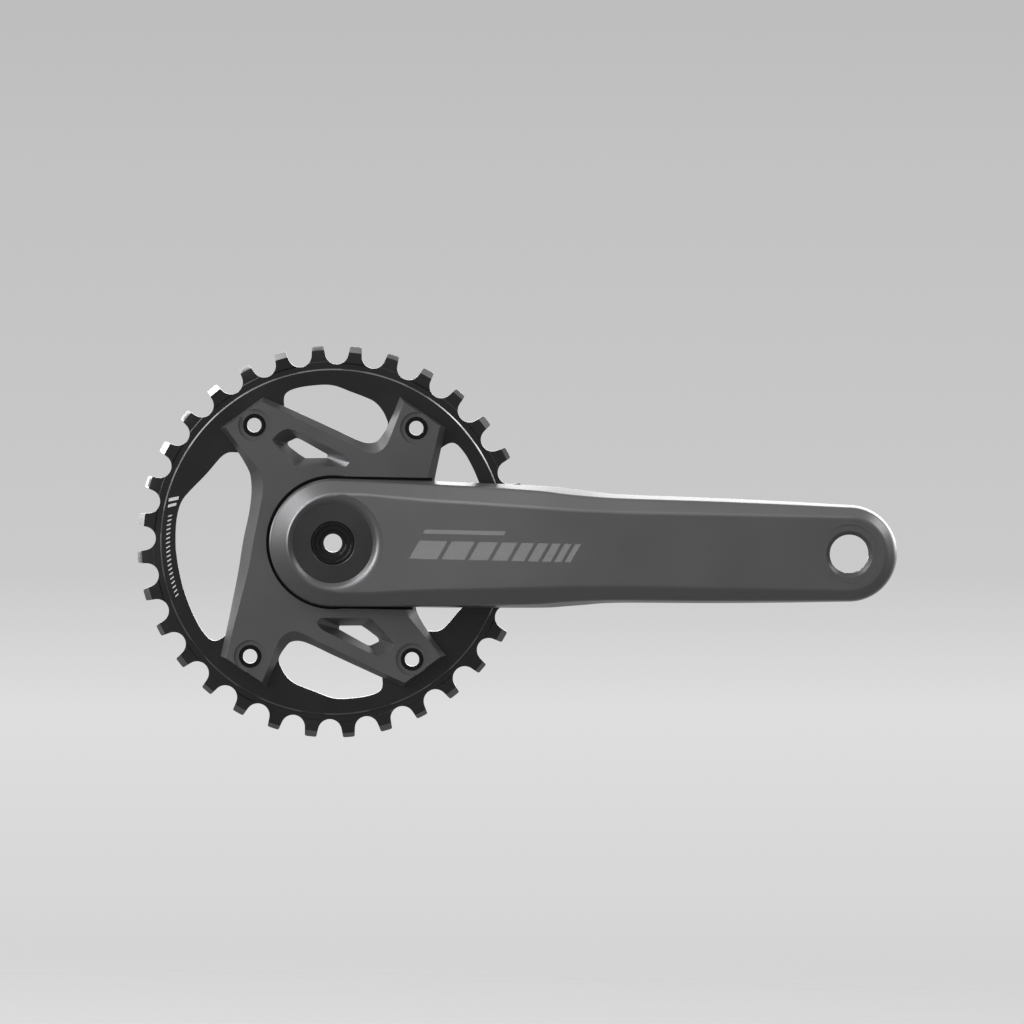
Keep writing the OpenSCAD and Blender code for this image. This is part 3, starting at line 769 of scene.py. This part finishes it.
FINISHES = {
    "arm_finish": finish_material("satin_charcoal", (0.185, 0.185, 0.189), 0.85, 0.36, 3600, 0.3, 0.04),
    "spider_finish": finish_material("blasted_grey", (0.175, 0.175, 0.179), 0.85, 0.38, 2800, 0.5, 0.06),
    "ring_finish": finish_material("hard_black", (0.055, 0.055, 0.056), 0.85, 0.28, 4200, 0.25),
    # Painted highlight: a lighter, fully metallic copy of the ring's black for the chamfers on its teeth
    # and step.
    "painted_highlight_edge": finish_material("painted_highlight_edge_grey", (0.30, 0.30, 0.30), 1.0, 0.27, 4200, 0.08, 0.06),
    # Painted shade for the floor of the arm's dish.
    "painted_dish_shade": finish_material("painted_dish_shade_charcoal", (0.085, 0.085, 0.087), 0.85, 0.34, 3600, 0.3,
                                   streak=300),
    # Painted shade for the gap between the arm's hub and the spider.
    "painted_gap_shade": finish_material("painted_gap_shade_black", (0.012, 0.012, 0.012), 0.6, 0.4, 3600, 0.3),
    "black_steel": finish_material("black_oxide", (0.010, 0.010, 0.011), 0.6, 0.3, 4200, 0.3),
    "plug_black": finish_material("moulded_black", (0.006, 0.006, 0.006), 0.0, 0.12, 2600, 0.08, 0.08),
    "spindle_steel": finish_material("ground_steel", (0.50, 0.51, 0.52), 1.0, 0.26, 5200, 0.25, streak=900),
    "race_steel": finish_material("polished_steel", (0.60, 0.61, 0.62), 1.0, 0.12, 5200, 0.08, 0.05),
    "cage_nylon": finish_material("cage_nylon_brown", (0.055, 0.045, 0.035), 0.0, 0.5, 2400, 0.4),
    "seal_rubber": finish_material("seal_rubber_black", (0.016, 0.016, 0.016), 0.0, 0.62, 2200, 0.6),
    "cover_plastic": finish_material("cover_plastic_black", (0.026, 0.026, 0.027), 0.0, 0.48, 2400, 0.5),
    "cup_finish": finish_material("cup_black_anodised", (0.038, 0.038, 0.040), 0.75, 0.32, 3600, 0.4,
                                  streak=500),
    "sleeve_plastic": finish_material("sleeve_grey", (0.10, 0.10, 0.10), 0.0, 0.5, 2000, 0.6),
    "marking_grey": finish_material("printed_grey", (0.21, 0.21, 0.215), 0.1, 0.5, 3000, 0.3),
    "marking_white": finish_material("printed_white", (0.62, 0.62, 0.62), 0.0, 0.55, 3000, 0.2),
}

# ---------------------------------------------------------------- building

crank_arm()
spider()
chainring()
arm_marking()
ring_marking()
carried(cup("drive_cup_body", 39, 1, 5), "bottom_bracket", "cup_finish", "drive_cup")
carried(cup("non_drive_cup_body", -36.5, -1, 2.5), "bottom_bracket", "cup_finish", "non_drive_cup")

REBUILT = {"crank_arm", "spider", "chainring", "drive_cup", "non_drive_cup"}
# Nodes whose names end so have no edges to soften.
ROUND = ("balls", "o_ring", "o_rings", "seal_ring")
PLUG_EDGE = 0.3
CAD_EDGE = 0.12
WELD_REACH = 0.001
for part in frame["record"]["subparts"]:
    name = part["node"]
    if name in REBUILT:
        continue
    node = NODES[name]
    for slot in node.material_slots:
        slot.material = FINISHES[part["material_slot"]]
    weld = node.modifiers.new("weld", "WELD")
    weld.merge_threshold = WELD_REACH * MM
    if not name.endswith(ROUND):
        soften(node, PLUG_EDGE if name == "hub_plug" else CAD_EDGE, 32, 2)

# ---------------------------------------------------------------- stage, lights and camera

ROLL = math.radians(1.07)
ELEVATION = math.radians(1.6)
LOOK_AT = place(60.6, 11.6, 65)
DISTANCE = 6.0
VIEW_WIDTH = 0.3477
LIGHT_AIM = Vector((0.06, -0.06, 0))
FLOOR_ALBEDO = 0.49
FLOOR_Z = -0.196
FLOOR_FADE = (0.45, 1.15)
STUDIO_PEAK = 4.0
# How the studio's brightness goes with height, from -1 straight down to 1 straight up: what lights
# the object from behind it, what lights it from the front, and what the camera sees.
BACK_TONES = [(-1, 0.3), (-0.3, 0.45), (-0.05, 0.60), (-0.036, 0.62), (-0.018, 0.56), (0.004, 0.505),
              (0.022, STUDIO_PEAK), (0.22, STUDIO_PEAK), (0.5, 0.6), (1, 0.5)]
FRONT_TONES = [(-1, 0.21), (-0.3, 0.22), (0, 0.24), (0.4, 0.38), (1, 0.62)]
SEEN_TONES = [(-1, 0.63), (-0.2, 0.64), (-0.0561, 0.645), (-0.0476, 0.69), (-0.0408, 0.725),
              (-0.0376, 0.735), (-0.0366, 0.71), (-0.0355, 0.65), (-0.0338, 0.605), (-0.0306, 0.585),
              (-0.0102, 0.546), (0, 0.515), (0.05, 0.50), (1, 0.50)]
FRONT_TO_BACK = (-0.1, 0.6)


def camera():
    """A long lens from the drive side, a little above the spindle and tilted with the object."""
    data = bpy.data.cameras.new("camera")
    data.lens = data.sensor_width * DISTANCE / VIEW_WIDTH
    data.clip_end = 60
    obj = bpy.data.objects.new("camera", data)
    bpy.context.scene.collection.objects.link(obj)
    right = Vector((math.cos(ROLL), 0, math.sin(ROLL)))
    level_up = Vector((-math.sin(ROLL), 0, math.cos(ROLL)))
    back = Vector((0, -math.cos(ELEVATION), 0)) + level_up * math.sin(ELEVATION)
    up = level_up * math.cos(ELEVATION) + Vector((0, math.sin(ELEVATION), 0))
    rotation = Matrix((right, up, back)).transposed()
    obj.matrix_world = Matrix.Translation(LOOK_AT + back * DISTANCE) @ rotation.to_4x4()
    bpy.context.scene.camera = obj


def light(name, where, size, power):
    data = bpy.data.lights.new(name, "AREA")
    data.shape = "RECTANGLE"
    data.size, data.size_y = size
    data.energy = power
    obj = bpy.data.objects.new(name, data)
    bpy.context.scene.collection.objects.link(obj)
    obj.location = where
    obj.rotation_euler = (LIGHT_AIM - obj.location).to_track_quat("-Z", "Y").to_euler()
    obj.visible_camera = False


def floor():
    """A pale floor, low enough for the arm to swing clear of it, that fades out all round."""
    solid, gone = FLOOR_FADE
    mesh = bpy.data.meshes.new("floor")
    mesh.from_pydata([(-gone, -gone, 0), (gone, -gone, 0), (gone, gone, 0), (-gone, gone, 0)],
                     [], [(0, 1, 2, 3)])
    obj = link("floor", mesh)
    obj.location = (0, 0, FLOOR_Z)
    obj.visible_glossy = False
    mat = bpy.data.materials.new("floor_grey")
    mat.use_nodes = True
    nodes, links = mat.node_tree.nodes, mat.node_tree.links
    shader = nodes["Principled BSDF"]
    shader.inputs["Base Color"].default_value = (FLOOR_ALBEDO, FLOOR_ALBEDO, FLOOR_ALBEDO, 1)
    shader.inputs["Roughness"].default_value = 0.8
    shader.inputs["Specular IOR Level"].default_value = 0.2
    coords = nodes.new("ShaderNodeTexCoord")
    distance = nodes.new("ShaderNodeVectorMath")
    distance.operation = "LENGTH"
    links.new(coords.outputs["Object"], distance.inputs[0])
    fade = nodes.new("ShaderNodeMapRange")
    fade.interpolation_type = "SMOOTHSTEP"
    fade.inputs["From Min"].default_value = solid
    fade.inputs["From Max"].default_value = gone
    fade.inputs["To Min"].default_value = 1.0
    fade.inputs["To Max"].default_value = 0.0
    links.new(distance.outputs["Value"], fade.inputs["Value"])
    links.new(fade.outputs["Result"], shader.inputs["Alpha"])
    mesh.materials.append(mat)


def backdrop():
    """A pale studio. What is seen directly is a plain backdrop; what lights the object has one
    set of tones behind it and another in front."""
    world = bpy.data.worlds.new("studio")
    bpy.context.scene.world = world
    world.use_nodes = True
    nodes, links = world.node_tree.nodes, world.node_tree.links
    coords = nodes.new("ShaderNodeTexCoord")
    split = nodes.new("ShaderNodeSeparateXYZ")
    links.new(coords.outputs["Generated"], split.inputs["Vector"])
    rise = nodes.new("ShaderNodeVectorMath")
    rise.operation = "DOT_PRODUCT"
    rise.inputs[1].default_value = (-math.sin(ROLL), 0, math.cos(ROLL))
    links.new(coords.outputs["Generated"], rise.inputs[0])
    height = nodes.new("ShaderNodeMapRange")
    height.inputs["From Min"].default_value = -1
    height.inputs["From Max"].default_value = 1
    links.new(rise.outputs["Value"], height.inputs["Value"])

    def tones(table):
        ramp = nodes.new("ShaderNodeValToRGB")
        stops = ramp.color_ramp.elements
        while len(stops) < len(table):
            stops.new(0.5)
        for stop, (z, tone) in zip(stops, table):
            share = tone / STUDIO_PEAK
            stop.position = (z + 1) / 2
            stop.color = (share, share, share, 1)
        links.new(height.outputs["Result"], ramp.inputs["Fac"])
        return ramp.outputs["Color"]

    depth = nodes.new("ShaderNodeMapRange")
    depth.interpolation_type = "SMOOTHSTEP"
    depth.inputs["From Min"].default_value = FRONT_TO_BACK[0]
    depth.inputs["From Max"].default_value = FRONT_TO_BACK[1]
    links.new(split.outputs["Y"], depth.inputs["Value"])
    mix = nodes.new("ShaderNodeMix")
    mix.data_type = "RGBA"
    links.new(depth.outputs["Result"], mix.inputs["Factor"])
    links.new(tones(FRONT_TONES), mix.inputs["A"])
    links.new(tones(BACK_TONES), mix.inputs["B"])
    seen = nodes.new("ShaderNodeMix")
    seen.data_type = "RGBA"
    links.new(nodes.new("ShaderNodeLightPath").outputs["Is Camera Ray"], seen.inputs["Factor"])
    links.new(mix.outputs["Result"], seen.inputs["A"])
    links.new(tones(SEEN_TONES), seen.inputs["B"])
    links.new(seen.outputs["Result"], nodes["Background"].inputs["Color"])
    nodes["Background"].inputs["Strength"].default_value = STUDIO_PEAK


camera()
light("upper_left", (-1.5, -0.35, 1.25), (1.5, 1.1), 6)
light("upper_right", (1.5, -0.15, 1.2), (0.8, 0.8), 7)
light("front_left", (-1.3, -1.5, 1.25), (2.0, 2.0), 21)
light("near_left", (-0.85, -0.8, 0.25), (0.5, 0.5), 4)
light("spark", (-1.1, -0.9, 1.1), (0.16, 0.16), 1.4)
light("top_back", (0.1, 1.7, 1.1), (2.6, 1.0), 7)
light("back_left", (-1.4, 1.4, 1.3), (1.2, 1.2), 6)
floor()
backdrop()
bpy.context.scene.view_settings.view_transform = "Standard"
